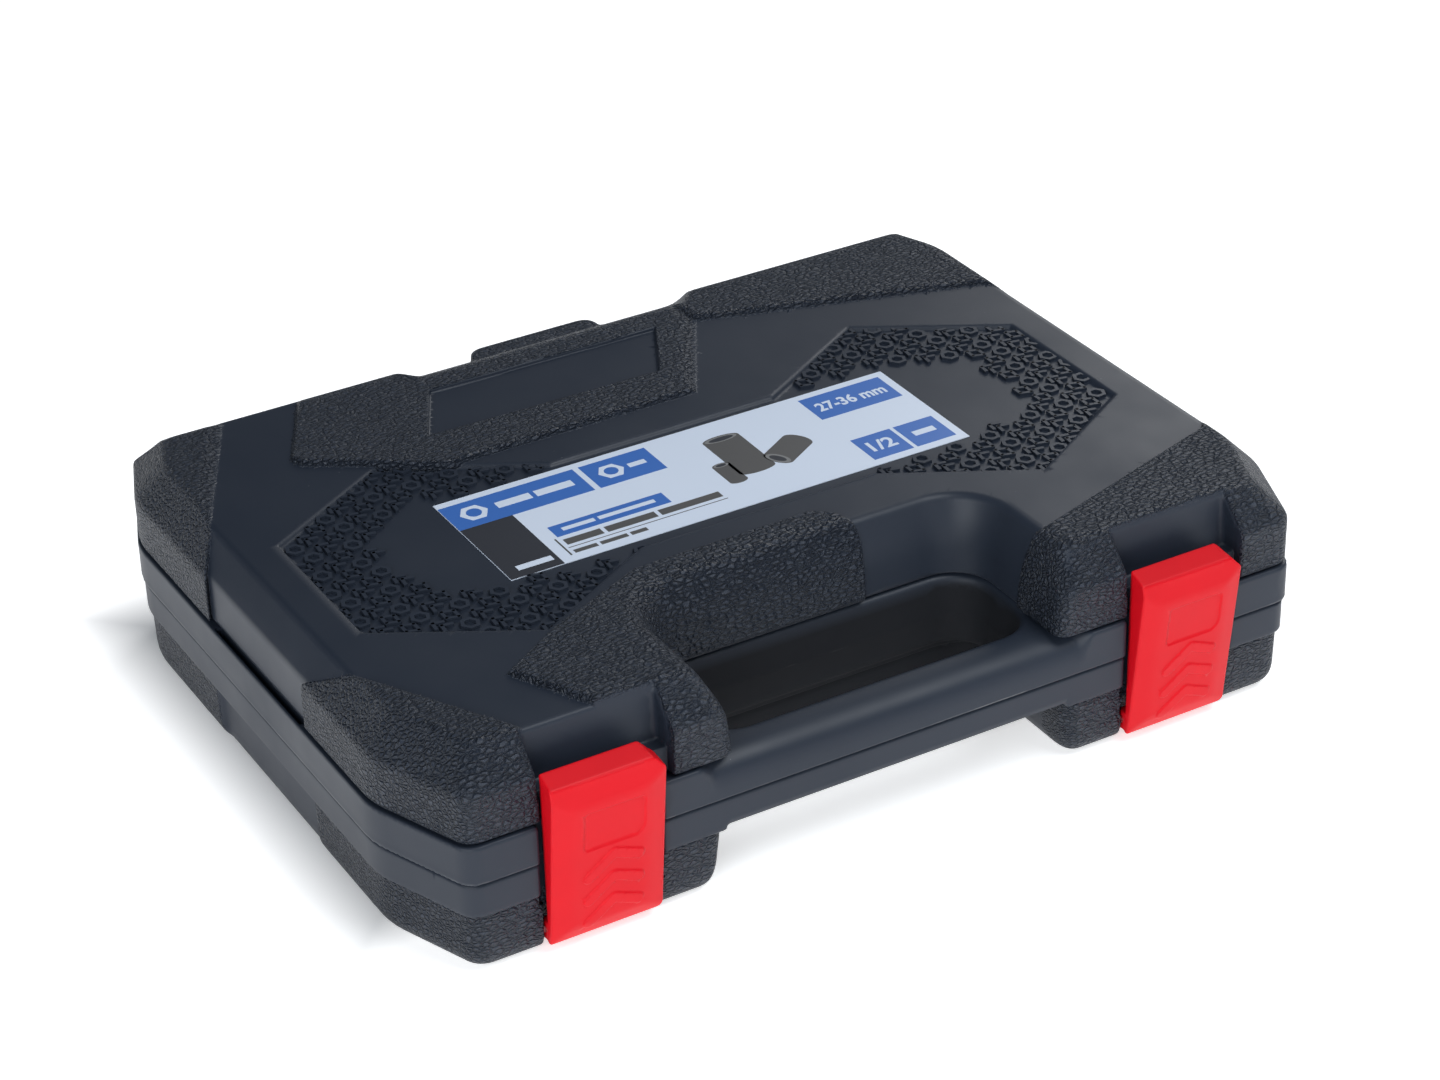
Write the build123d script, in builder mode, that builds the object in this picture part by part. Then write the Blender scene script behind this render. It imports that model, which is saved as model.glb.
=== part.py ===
from build123d import *
import os

# Impact socket set in a blow-moulded carrying case: hollow base and lid halves, two hinge pins,
# two over-front latches on their own pins, a printed label and eight 12-point sockets.
# Millimetres, +Z up. The origin is at the centre of the bounding box's footprint, on the ground plane.
# +X runs along the front to the right, the handle and latches face -Y, the hinge is at +Y.

# ---------------------------------------------------------------- driving dimensions
half_length = 137.5          # half of the case length along X
case_depth = 205.0           # base rim, front face to back face
y_off = -102.0               # front face of the base rim
rim_z = 40.0                 # top of the base rim
pinch_z = 29.2               # mould parting line round the base
step_z = 18.5                # small inward step under the rim band
seam = 0.6                   # gap between the base rim and the lid edge
plateau_z = 62.5             # smooth top of the lid
pad_rise = 1.5               # textured pads stand this much over the plateau
front_corner = (11.9, 30.7)  # front corner cut, along X and along Y
back_corner = (9.3, 24.0)    # back corner cut
deck_z = 36.0                # inner deck that the socket wells open from
well_floor_z = 4.0
wall = 2.2                   # blow-moulded wall
opening_half = 51.0          # finger opening, half width at the rim
opening_depth = 46.5         # finger opening, front face of the case to its back wall
bar_depth = 14.0             # handle bar, front to back
bar_bottom_z = 20.0
latch_x = 88.6               # latch centre from the middle
latch_width = 32.4
latch_pin_y, latch_pin_z = 3.9, 6.5
latch_pin_r = 1.25
hinge_y, hinge_z = 206.4, 40.0
hinge_pin_r = 1.75
barrel_r = 4.0
hinge_x = 82.0
running = 0.05               # radial clearance of a turning pin
drive = 12.9                 # square drive hole, half-inch drive
# size across flats: (outer diameter, length, well centre x, well centre y from the front face)
sockets = {
    27: (38.0, 46.0, -94.5, 153.0), 28: (39.5, 46.0, -31.5, 153.0),
    29: (41.0, 46.0, 31.5, 153.0), 30: (42.0, 46.0, 94.5, 153.0),
    32: (44.5, 48.5, -94.5, 90.0), 33: (46.0, 48.5, -31.5, 90.0),
    34: (47.5, 48.5, 31.5, 90.0), 36: (50.0, 48.5, 94.5, 90.0),
}
os.makedirs("parts", exist_ok=True)


def pts(points):
    """Plan points measured from the front face of the rim, moved to the part's origin."""
    return [(x, y + y_off) for x, y in points]


fx, fy = front_corner
bx, by = back_corner
L, D = half_length, case_depth
outline = pts([(-L + fx, 0), (L - fx, 0), (L, fy), (L, D - by), (L - bx, D), (-L + bx, D), (-L, D - by), (-L, fy)])

# U-shaped plan of the gap under the handle bar: rounded inside corners, flared rounded front corners
def u_plan(half, depth, r, flare):
    with BuildSketch(Plane.XY) as sk:
        with BuildLine():
            l1 = Line((-half - flare, y_off - 8), (-half - flare, y_off))
            a1 = TangentArc([l1 @ 1, (-half, y_off + flare)], tangent=(1, 0))
            l2 = Line(a1 @ 1, (-half, y_off + depth - r))
            a2 = TangentArc([l2 @ 1, (-half + r, y_off + depth)], tangent=(0, 1))
            l3 = Line(a2 @ 1, (half - r, y_off + depth))
            a3 = TangentArc([l3 @ 1, (half, y_off + depth - r)], tangent=(1, 0))
            l4 = Line(a3 @ 1, (half, y_off + flare))
            a4 = TangentArc([l4 @ 1, (half + flare, y_off)], tangent=(0, -1))
            l5 = Line(a4 @ 1, (half + flare, y_off - 8))
            Line(l5 @ 1, l1 @ 0)
        make_face()
    return sk.sketch


# ---------------------------------------------------------------- base: hollow double-walled moulding
with BuildPart() as base_void:      # sealed air space between the outer wall and the inner deck
    with BuildSketch(Plane.XY.offset(wall)):
        with BuildLine():
            Polyline(outline, close=True)
        make_face()
        offset(amount=-5.0, kind=Kind.INTERSECTION, mode=Mode.REPLACE)
        with Locations((0, y_off + opening_depth + 4 - 50)):
            Rectangle(2 * opening_half + 9, 100, mode=Mode.SUBTRACT)
        with Locations((0, y_off + 2)):
            Rectangle(2 * opening_half + 34, 30, mode=Mode.SUBTRACT)
        for s in (-1, 1):
            with Locations((s * latch_x, y_off + 6)):
                Rectangle(latch_width + 10, 14, mode=Mode.SUBTRACT)
            with Locations((s * hinge_x, y_off + D)):
                Rectangle(40, 14, mode=Mode.SUBTRACT)
    extrude(amount=deck_z - 2 * wall)
    for od, length, x, y in sockets.values():
        with BuildSketch(Plane.XY):
            with Locations((x, y + y_off)):
                Circle(od / 2 + 0.7 + 1.9)
        extrude(amount=deck_z, mode=Mode.SUBTRACT)

with BuildPart() as base_shell:
    with BuildSketch(Plane.XY.offset(step_z)):          # rim band and the smooth strip under it
        with BuildLine():
            Polyline(outline, close=True)
        make_face()
    extrude(amount=rim_z - step_z)
    with BuildSketch(Plane.XY.offset(step_z)):          # lower body, stepped in and drafted
        with BuildLine():
            Polyline(outline, close=True)
        make_face()
        offset(amount=-1.2, kind=Kind.INTERSECTION, mode=Mode.REPLACE)
    extrude(amount=-step_z, taper=2.5)
    chamfer(base_shell.edges().group_by(Axis.Z)[0], length=2.6)
    for s in (-1, 1):                                   # smooth recessed side panels between the corner pads
        with BuildSketch(Plane.XY.offset(-1)):
            with BuildLine():
                Polyline(pts([(s * (L + 4), 72), (s * (L - 3.6), 75), (s * (L - 3.6), 130), (s * (L + 4), 137)]), close=True)
            make_face()
        extrude(amount=step_z - 0.5, mode=Mode.SUBTRACT)
    # finger opening: widest at the rim, narrowest at the parting line, opening again downwards
    with BuildSketch(Plane.XY.offset(pinch_z)):
        with Locations((0, y_off + opening_depth - 2.5 - 40)):
            Rectangle(2 * (opening_half - 2.2), 80)
        fillet(vertices(), radius=10)
    extrude(amount=rim_z - pinch_z + 1, taper=-12, mode=Mode.SUBTRACT)
    add(u_plan(opening_half - 1.2, opening_depth - 1.8, 10, 11))
    extrude(amount=pinch_z, mode=Mode.SUBTRACT)
    # inner deck, one step below the rim
    with BuildSketch(Plane.XY.offset(deck_z)):
        with BuildLine():
            Polyline(outline, close=True)
        make_face()
        offset(amount=-13, kind=Kind.INTERSECTION, mode=Mode.REPLACE)
        with Locations((0, y_off + opening_depth + 11 - 50)):
            Rectangle(2 * opening_half + 24, 100, mode=Mode.SUBTRACT)
        fillet(vertices(), radius=6)
    extrude(amount=10, mode=Mode.SUBTRACT)
    for s in (-1, 1):                                   # slots in the rim behind its outer lip, under the lid's side walls
        with BuildSketch(Plane.XY.offset(rim_z - 4)):
            with Locations((s * (L - 3.6), y_off + 101)):
                Rectangle(5.2, 55)
        extrude(amount=5, mode=Mode.SUBTRACT)
    for od, length, x, y in sockets.values():           # socket wells
        with BuildSketch(Plane.XY.offset(well_floor_z)):
            with Locations((x, y + y_off)):
                Circle(od / 2 + 0.7)
        extrude(amount=40, mode=Mode.SUBTRACT)
    for s in (-1, 1):                                   # latch recess in the front wall, and the pin cavity at its foot
        with BuildSketch(Plane.XY.offset(-1)):
            with Locations((s * latch_x, y_off - 1)):
                Rectangle(latch_width + 0.8, 9.2)
        extrude(amount=60, mode=Mode.SUBTRACT)
        with BuildSketch(Plane.XY.offset(15)):
            with Locations((s * latch_x, y_off - 1)):
                Rectangle(latch_width + 2.4, 9.2)
        extrude(amount=40, mode=Mode.SUBTRACT)
        with BuildSketch(Plane.XY.offset(-1)):
            with Locations((s * latch_x, y_off + 3)):
                Rectangle(latch_width + 0.8, 14)
        extrude(amount=14.5, mode=Mode.SUBTRACT)
    with BuildSketch(Plane.YZ.offset(-opening_half - 11)):   # handle bar with a rounded top front edge
        with Locations((y_off + 0.8 + (bar_depth - 0.8) / 2, (rim_z + bar_bottom_z) / 2)):
            RectangleRounded(bar_depth - 0.8, rim_z - bar_bottom_z, 3.5)
    extrude(amount=2 * opening_half + 22)
    with BuildSketch(Plane.XY.offset(6)):               # rear foot in the middle of the back wall
        with Locations((0, y_off + D - 5)):
            RectangleRounded(42, 12, 3)
    extrude(amount=rim_z - 7)
    for s in (-1, 1):                                   # room for the lid's hinge knuckle, then the base's own knuckles
        with BuildSketch(Plane.YZ.offset(s * hinge_x - 8)):
            with Locations((hinge_y + y_off, hinge_z)):
                Circle(barrel_r + 0.5)
        extrude(amount=16, mode=Mode.SUBTRACT)
        for k in (-1, 1):
            with BuildSketch(Plane.YZ.offset(s * hinge_x + k * 12 - 4)):
                with Locations((hinge_y + y_off, hinge_z)):
                    Circle(barrel_r)
                with BuildLine():
                    Polyline([(y_off + D - 3, hinge_z - 0.2), (y_off + hinge_y, hinge_z - 0.2), (y_off + hinge_y, hinge_z - 4),
                              (y_off + D - 0.5, hinge_z - 10), (y_off + D - 3, hinge_z - 10)], close=True)
                make_face()
            extrude(amount=8)
            with BuildSketch(Plane.YZ.offset(s * hinge_x + k * 12 - 4)):
                with Locations((hinge_y + y_off, hinge_z)):
                    Circle(hinge_pin_r)
            extrude(amount=8, mode=Mode.SUBTRACT)
        # cross holes that hold the latch pin
        with BuildSketch(Plane.YZ.offset(s * latch_x - 20)):
            with Locations((latch_pin_y + y_off, latch_pin_z)):
                Circle(latch_pin_r)
        extrude(amount=40, mode=Mode.SUBTRACT)
    add(base_void.part, mode=Mode.SUBTRACT)
base_shell.part.label = "base_shell"

# ---------------------------------------------------------------- lid: hollow moulding with raised textured pads
lid_edge = rim_z + seam
with BuildPart() as pad_body:       # outer envelope that the pads follow: upright wall, wide chamfer, flat top
    with BuildSketch(Plane.XY.offset(lid_edge)):
        with BuildLine():
            Polyline(outline, close=True)
        make_face()
        offset(amount=-0.5, kind=Kind.INTERSECTION, mode=Mode.REPLACE)
    extrude(amount=rim_z + 14.5 - lid_edge)
    with BuildSketch(Plane.XY.offset(rim_z + 14.5)):
        with BuildLine():
            Polyline(outline, close=True)
        make_face()
        offset(amount=-0.5, kind=Kind.INTERSECTION, mode=Mode.REPLACE)
    with BuildSketch(Plane.XY.offset(plateau_z + pad_rise)):
        with BuildLine():
            Polyline(outline, close=True)
        make_face()
        offset(amount=-10.5, kind=Kind.INTERSECTION, mode=Mode.REPLACE)
    loft()
pad_plans = [
    pts([(-150, 58), (-131, 58), (-104, 9), (-104, -10), (-150, -10)]),                          # front left corner
    pts([(-97, 33.5), (-44.5, 60.4), (8, 60.6), (16.5, 51), (16.5, 20), (-40, -10), (-69, -10), (-69, 10), (-83, 10)]),  # arrow pad and left nose
    pts([(57.5, 22), (150, 50), (150, -10), (30, -10), (30, 10)]),                              # front right corner and right nose
    pts([(-104, 215), (-131, 141), (-150, 132), (-150, 215)]),                                  # back left corner
    pts([(-78, 215), (-96, 163), (-61, 137.5), (20, 138), (41, 177), (60, 215)]),                # trapezoid
    pts([(41, 177), (128, 151), (150, 143), (150, 215), (50, 215)]),                            # back right corner
]
with BuildPart() as pads:
    for plan in pad_plans:
        with BuildSketch(Plane.XY.offset(lid_edge)):
            with BuildLine():
                Polyline(plan, close=True)
            make_face()
        extrude(amount=30)
    add(pad_body.part, mode=Mode.INTERSECT)

with BuildPart() as lid_void:       # sealed air space round the rim of the lid
    with BuildSketch(Plane.XY.offset(lid_edge + wall)):
        with BuildLine():
            Polyline(outline, close=True)
        make_face()
        offset(amount=-4.8, kind=Kind.INTERSECTION, mode=Mode.REPLACE)
        with BuildLine():
            Polyline(pts([(-110, -5), (110, -5), (110, 14), (64, 14), (60, 60), (-60, 60), (-64, 14), (-110, 14)]), close=True)
        make_face(mode=Mode.SUBTRACT)
        with Locations((0, y_off + D)):
            Rectangle(206, 28, mode=Mode.SUBTRACT)
        with BuildLine():
            Polyline(pts([(-125.5 + 1, 60), (-125.5 + 1, 40), (-115, 14), (-60, 14), (-60, 62), (60, 62), (60, 14), (115, 14),
                          (124.5, 40), (124.5, 176), (118, 190), (-118, 190), (-124.5, 176)]), close=True)
        make_face(mode=Mode.SUBTRACT)
    extrude(amount=13)

with BuildPart() as lid_shell:
    with BuildSketch(Plane.XY.offset(lid_edge)):        # smooth body, set in from the pads
        with BuildLine():
            Polyline(outline, close=True)
        make_face()
        offset(amount=-2.0, kind=Kind.INTERSECTION, mode=Mode.REPLACE)
    extrude(amount=rim_z + 16 - lid_edge)
    with BuildSketch(Plane.XY.offset(rim_z + 16)):
        with BuildLine():
            Polyline(outline, close=True)
        make_face()
        offset(amount=-2.0, kind=Kind.INTERSECTION, mode=Mode.REPLACE)
    with BuildSketch(Plane.XY.offset(plateau_z)):
        with BuildLine():
            Polyline(outline, close=True)
        make_face()
        offset(amount=-8.5, kind=Kind.INTERSECTION, mode=Mode.REPLACE)
    loft()
    add(pads.part)
    with BuildSketch(Plane.XY.offset(plateau_z - 1.2)):   # double-hexagon recess for the label and the pattern
        with BuildLine():
            Polyline(pts([(-77, 148), (-117.4, 123.5), (-117.4, 72.5), (-77, 48.5), (-37, 71.5), (37, 71.5), (77, 48.5),
                          (117.4, 72.5), (117.4, 123.5), (77, 148), (35.5, 123.5), (-35.5, 123.5)]), close=True)
        make_face()
        with BuildLine():                               # the trapezoid and arrow pads run over the recess edge
            Polyline(pad_plans[4], close=True)
        make_face(mode=Mode.SUBTRACT)
        with BuildLine():
            Polyline(pad_plans[1], close=True)
        make_face(mode=Mode.SUBTRACT)
    extrude(amount=10, mode=Mode.SUBTRACT)
    with BuildSketch(Plane.XY.offset(plateau_z + 0.3)):   # smooth panel sunk in the trapezoid pad
        with BuildLine():
            Polyline(pts([(-46.5, 178), (-58.5, 154.5), (15.5, 153.5), (28, 177.5)]), close=True)
        make_face()
    extrude(amount=5, mode=Mode.SUBTRACT)
    # handle gap, drafted outwards
    with BuildSketch(Plane.XY.offset(lid_edge - 1)):
        with Locations((0, y_off + opening_depth - 40)):
            Rectangle(2 * opening_half, 80)
        fillet(vertices(), radius=11)
    extrude(amount=26, taper=-11, mode=Mode.SUBTRACT)
    for s in (-1, 1):                                   # rounded noses beside the handle gap
        with BuildSketch(Plane.XY.offset(lid_edge - 1)):
            with BuildLine():
                r = 12.0
                a = Line((s * (opening_half - 4), y_off - 6), (s * (opening_half + r), y_off - 6))
                b = Line(a @ 1, (s * (opening_half + r), y_off + 0.5))
                c = TangentArc([b @ 1, (s * opening_half, y_off + 0.5 + r)], tangent=(-s, 0))
                d = Line(c @ 1, (s * (opening_half - 4), y_off + 0.5 + r))
                Line(d @ 1, a @ 0)
            make_face()
        extrude(amount=30, mode=Mode.SUBTRACT)
    for lo, hi in ((-105.6, -68.0), (71.6, 108.4)):     # finger pockets over the latches, down to the catch ledge
        with BuildSketch(Plane.XY.offset(lid_edge - 1)):
            with Locations(((lo + hi) / 2, y_off - 3.25)):
                Rectangle(hi - lo, 13.5)
        extrude(amount=30, mode=Mode.SUBTRACT)
        with BuildSketch(Plane.XY.offset(rim_z + 8)):
            with Locations(((lo + hi) / 2, y_off + 0.25)):
                Rectangle(hi - lo, 20.5)
        extrude(amount=30, mode=Mode.SUBTRACT)
    # scoop along the middle of the back edge, and the rear foot standing in it
    with BuildSketch(Plane.YZ.offset(-46)):
        with BuildLine():
            Polyline([(y_off + 203.5, rim_z + 14.5), (y_off + 190, plateau_z), (y_off + 187, plateau_z + pad_rise + 1),
                      (y_off + 230, plateau_z + pad_rise + 1), (y_off + 230, rim_z + 14.5)], close=True)
        make_face()
    extrude(amount=92, mode=Mode.SUBTRACT)
    with BuildSketch(Plane.XY.offset(lid_edge)):
        with Locations((0, y_off + D - 5)):
            RectangleRounded(42, 12, 3)
    extrude(amount=17 - seam)
    # inside of the lid
    with BuildSketch(Plane.XY.offset(lid_edge - 1)):
        with BuildLine():
            Polyline(pts([(-122.5, 60), (-122.5, 40), (-113, 17), (-63, 17), (-63, 60), (63, 60), (63, 17), (113, 17),
                          (122.5, 40), (122.5, 174), (115.5, 189), (60, 189), (56, 185), (-56, 185), (-60, 189), (-115.5, 189), (-122.5, 174)]), close=True)
        make_face()
        fillet(vertices(), radius=3)
    extrude(amount=rim_z + 19.2 - lid_edge + 1, mode=Mode.SUBTRACT)
    add(lid_void.part, mode=Mode.SUBTRACT)
    for s in (-1, 1):                                   # room for the base knuckles, then the lid's own knuckle
        for k in (-1, 1):
            with BuildSketch(Plane.YZ.offset(s * hinge_x + k * 12 - 4.4)):
                with Locations((hinge_y + y_off, hinge_z)):
                    Circle(barrel_r + 0.5)
            extrude(amount=8.8, mode=Mode.SUBTRACT)
        with BuildSketch(Plane.YZ.offset(s * hinge_x - 7.5)):
            with Locations((hinge_y + y_off, hinge_z)):
                Circle(barrel_r)
            with BuildLine():
                Polyline([(y_off + D - 4, hinge_z + seam), (y_off + hinge_y, hinge_z + seam), (y_off + hinge_y, hinge_z + 4),
                          (y_off + D - 2.1, hinge_z + 9), (y_off + D - 4, hinge_z + 9)], close=True)
            make_face()
        extrude(amount=15)
        with BuildSketch(Plane.YZ.offset(s * hinge_x - 7.5)):
            with Locations((hinge_y + y_off, hinge_z)):
                Circle(hinge_pin_r + running)
        extrude(amount=15, mode=Mode.SUBTRACT)
lid_shell.part.label = "lid_shell"

# ---------------------------------------------------------------- pins
def pin(x0, x1, y, z, r):
    with BuildPart() as p:
        with BuildSketch(Plane.YZ.offset(x0)):
            with Locations((y + y_off, z)):
                Circle(r)
        extrude(amount=x1 - x0)
        chamfer(p.edges().filter_by(GeomType.CIRCLE), length=0.3)
    return p.part


hinge_pin_left = pin(-hinge_x - 16, -hinge_x + 16, hinge_y, hinge_z, hinge_pin_r)
hinge_pin_left.label = "hinge_pin_left"
hinge_pin_right = pin(hinge_x - 16, hinge_x + 16, hinge_y, hinge_z, hinge_pin_r)
hinge_pin_right.label = "hinge_pin_right"
latch_pin_left = pin(-latch_x - 19.5, -latch_x + 19.5, latch_pin_y, latch_pin_z, latch_pin_r)
latch_pin_left.label = "latch_pin_left"
latch_pin_right = pin(latch_x - 19.5, latch_x + 19.5, latch_pin_y, latch_pin_z, latch_pin_r)
latch_pin_right.label = "latch_pin_right"


# ---------------------------------------------------------------- latches
def make_latch(cx):
    w = latch_width / 2
    with BuildPart() as p:
        # bevelled cover, leaning out towards its top, swinging on the pin at its foot
        with BuildSketch(Plane.YZ.offset(cx - w)):
            with BuildLine():
                Polyline([(y_off - 6.4, rim_z + 11.2), (y_off - 0.2, rim_z + 15.0), (y_off + 1.6, rim_z + 15.0), (y_off + 1.6, 10.5),
                          (y_off + 1.4, 2.7), (y_off - 1.1, 2.7)], close=True)
            make_face()
        extrude(amount=2 * w)
        with BuildSketch(Plane.YZ.offset(cx - w + 2.2)):    # hollow behind the cover
            with BuildLine():
                Polyline([(y_off - 3.9, rim_z + 10.2), (y_off - 0.6, rim_z + 12.4), (y_off + 3, rim_z + 12.4), (y_off + 3, 11.5), (y_off + 0.2, 11.5)], close=True)
            make_face()
        extrude(amount=2 * w - 4.4, mode=Mode.SUBTRACT)
        with BuildSketch(Plane.YZ.offset(cx - w)):          # hinge barrel
            with Locations((latch_pin_y + y_off, latch_pin_z)):
                Circle(2.8)
            with BuildLine():
                Polyline([(y_off + 1.0, 3.5), (y_off + 3.9, 3.7), (y_off + 3.9, 9.3), (y_off + 1.0, 10.5)], close=True)
            make_face()
        extrude(amount=2 * w)
        with BuildSketch(Plane.YZ.offset(cx - 10)):         # catch nose over the lid's ledge
            with BuildLine():
                Polyline([(y_off - 4.6, rim_z + 8.6), (y_off + 3.2, rim_z + 8.6), (y_off + 3.2, rim_z + 9.8), (y_off + 1.6, rim_z + 11.6), (y_off - 4.4, rim_z + 11.6)], close=True)
            make_face()
        extrude(amount=20)
        with BuildSketch(Plane.YZ.offset(cx - w - 1)):
            with Locations((latch_pin_y + y_off, latch_pin_z)):
                Circle(latch_pin_r + running)
        extrude(amount=2 * w + 2, mode=Mode.SUBTRACT)
    return p.part


latch_left = make_latch(-latch_x)
latch_left.label = "latch_left"
latch_right = make_latch(latch_x)
latch_right.label = "latch_right"

# ---------------------------------------------------------------- label
with BuildPart() as label:
    with BuildSketch(Plane.XY.offset(plateau_z - 1.2)):
        with BuildLine():
            Polyline(pts([(-73.2, 75.5), (70.9, 75.5), (70.9, 121.8), (-73.2, 121.8)]), close=True)
        make_face()
    extrude(amount=0.2)
label.part.label = "label"


# ---------------------------------------------------------------- sockets, standing on their drive ends
def make_socket(size, od, length, x, y):
    z0 = well_floor_z
    deep = length * 0.52
    nose = 31.0 if size < 32 else 34.0
    with BuildPart() as p:
        with BuildSketch(Plane.XZ) as prof:
            with BuildLine():
                Polyline([(0, z0), (nose / 2 - 1, z0), (nose / 2, z0 + 1), (nose / 2, z0 + 14), (od / 2, z0 + 19),
                          (od / 2, z0 + length - 1.2), (od / 2 - 1.2, z0 + length), (0, z0 + length)], close=True)
            make_face()
        revolve(axis=Axis.Z)
        with BuildSketch(Plane.XY.offset(z0 + length - deep)):     # 12-point recess
            RegularPolygon(radius=size / 2 + 0.15, side_count=6, major_radius=False)
            RegularPolygon(radius=size / 2 + 0.15, side_count=6, major_radius=False, rotation=30)
        extrude(amount=deep, mode=Mode.SUBTRACT)
        with BuildSketch(Plane.XY.offset(z0 + 15)):                # relief bore under it
            Circle(size / 2 - 1.5)
        extrude(amount=length - deep - 15, mode=Mode.SUBTRACT)
        with BuildSketch(Plane.XY.offset(z0)):                     # square drive
            RectangleRounded(drive, drive, 0.6)
        extrude(amount=15, mode=Mode.SUBTRACT)
        with BuildSketch(Plane.XY.offset(z0 + 5.6)):               # retaining groove
            Circle(nose / 2 + 2)
            Circle(nose / 2 - 1.2, mode=Mode.SUBTRACT)
        extrude(amount=3.2, mode=Mode.SUBTRACT)
        with BuildSketch(Plane.YZ.offset(-nose)):                  # cross hole for the retaining pin
            with Locations((0, z0 + 7.2)):
                Circle(1.5)
        extrude(amount=2 * nose, mode=Mode.SUBTRACT)
    placed = p.part.moved(Location((x, y + y_off, 0)))
    return placed


for size, (od, length, x, y) in sockets.items():
    s = make_socket(size, od, length, x, y)
    s.label = "socket_%dmm" % size
    export_step(s, "parts/socket_%dmm.step" % size)

export_step(base_shell.part, "parts/base_shell.step")
export_step(lid_shell.part, "parts/lid_shell.step")
export_step(hinge_pin_left, "parts/hinge_pin_left.step")
export_step(hinge_pin_right, "parts/hinge_pin_right.step")
export_step(latch_pin_left, "parts/latch_pin_left.step")
export_step(latch_pin_right, "parts/latch_pin_right.step")
export_step(latch_left, "parts/latch_left.step")
export_step(latch_right, "parts/latch_right.step")
export_step(label.part, "parts/label.step")
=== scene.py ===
import bpy, bmesh, math
import numpy as np
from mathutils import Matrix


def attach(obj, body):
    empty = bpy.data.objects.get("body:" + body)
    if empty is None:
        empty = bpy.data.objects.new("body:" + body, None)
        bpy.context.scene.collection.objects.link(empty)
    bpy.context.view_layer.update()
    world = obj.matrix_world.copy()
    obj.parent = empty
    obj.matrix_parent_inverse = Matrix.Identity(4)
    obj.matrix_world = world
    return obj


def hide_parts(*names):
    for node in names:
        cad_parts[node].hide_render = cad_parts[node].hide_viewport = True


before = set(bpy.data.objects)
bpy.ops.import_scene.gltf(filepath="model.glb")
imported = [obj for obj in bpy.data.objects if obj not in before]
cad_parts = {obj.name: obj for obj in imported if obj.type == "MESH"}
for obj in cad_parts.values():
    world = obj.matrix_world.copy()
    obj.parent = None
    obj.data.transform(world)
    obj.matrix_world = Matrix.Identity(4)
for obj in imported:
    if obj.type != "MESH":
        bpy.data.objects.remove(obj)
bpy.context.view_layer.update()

import openvdb
from mathutils import Matrix, Vector

YO, ZO = -102.0, 40.0          # the modelling frame has its zero at the front face of the rim, at the rim's height, in mm


# ------------------------------------------------------------------ signed distances
def smax(a, b, k):
    h = np.maximum(k - np.abs(a - b), 0.0)
    return np.maximum(a, b) + h * h * (0.25 / k)


def smin(a, b, k):
    return -smax(-a, -b, k)


def step(e0, e1, x):
    t = np.clip((x - e0) / (e1 - e0), 0, 1)
    return t * t * (3 - 2 * t)


def poly(P, x, y):
    """Exact signed distance to a closed polygon, negative inside."""
    n = len(P)
    best = None
    inside = None
    for i in range(n):
        ax, ay = P[i]
        bx, by = P[(i + 1) % n]
        ex, ey = bx - ax, by - ay
        wx, wy = x - ax, y - ay
        t = np.clip((wx * ex + wy * ey) / (ex * ex + ey * ey), 0, 1)
        dx, dy = wx - ex * t, wy - ey * t
        d2 = dx * dx + dy * dy
        best = d2 if best is None else np.minimum(best, d2)
        if ey != 0:
            c = ((ay > y) != (by > y)) & (x < ex * (y - ay) / ey + ax)
            inside = c if inside is None else inside ^ c
    d = np.sqrt(best)
    return np.where(inside, -d, d)


def rrect(x, y, hx, y0, y1, r):
    """Rounded rectangle centred on x = 0."""
    cy, hy = (y0 + y1) / 2, (y1 - y0) / 2
    qx, qy = np.abs(x) - hx + r, np.abs(y - cy) - hy + r
    return np.hypot(np.maximum(qx, 0), np.maximum(qy, 0)) + np.minimum(np.maximum(qx, qy), 0) - r


def outline(ax, y):
    front = -y
    fc = ((ax - 125.6) * 30.7 - y * 11.9) / 32.93
    side = ax - 137.5
    bc = ((ax - 137.5) * 24 + (y - 181) * 9.3) / 25.74
    back = y - 205.0
    return smax(smax(smax(front, fc, 4.0), smax(side, bc, 2.0), 1.8), back, 3.0)


HEX = [(-77, 148), (-117.4, 123.5), (-117.4, 72.5), (-77, 48.5), (-37, 71.5), (37, 71.5), (77, 48.5), (117.4, 72.5),
       (117.4, 123.5), (77, 148), (36, 123.5), (-36, 123.5)]
PAD_FL = [(-160, 107), (-137.5, 72), (-131.5, 59.5), (-103.2, 9), (-103.2, -20), (-160, -20)]
PAD_ARROW = [(-96, 34), (-75, 47.5), (-60, 54), (-45, 61), (10, 61.8), (15.5, 57), (18, 49), (12, 10), (12, -20), (-67.6, -20), (-67.6, 9), (-84, 9)]
PAD_FR = [(58.0, 21.0), (126.4, 42.6), (137.5, 55), (160, 80), (160, -20), (40, -20), (46, 21)]
PAD_BL = [(-102, 220), (-102, 197), (-130, 141.5), (-137.5, 130), (-160, 92), (-160, 220)]
PAD_TRAP = [(-60, 230), (-81, 194), (-96.5, 164), (-95, 160), (-61, 137), (19, 138), (41.5, 177.5), (41.5, 190), (60, 230)]
PAD_BR = [(40, 230), (40, 177), (126.5, 150), (137.5, 134), (160, 100), (160, 230)]
PANEL = [(-46, 179), (-58.5, 154.5), (15.5, 153.2), (28, 178)]
SOCKETS = {27: (38.0, 46.0, -94.5, 153.0), 28: (39.5, 46.0, -31.5, 153.0), 29: (41.0, 46.0, 31.5, 153.0), 30: (42.0, 46.0, 94.5, 153.0),
           32: (44.5, 48.5, -94.5, 90.0), 33: (46.0, 48.5, -31.5, 90.0), 34: (47.5, 48.5, 31.5, 90.0), 36: (50.0, 48.5, 94.5, 90.0)}
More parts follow.
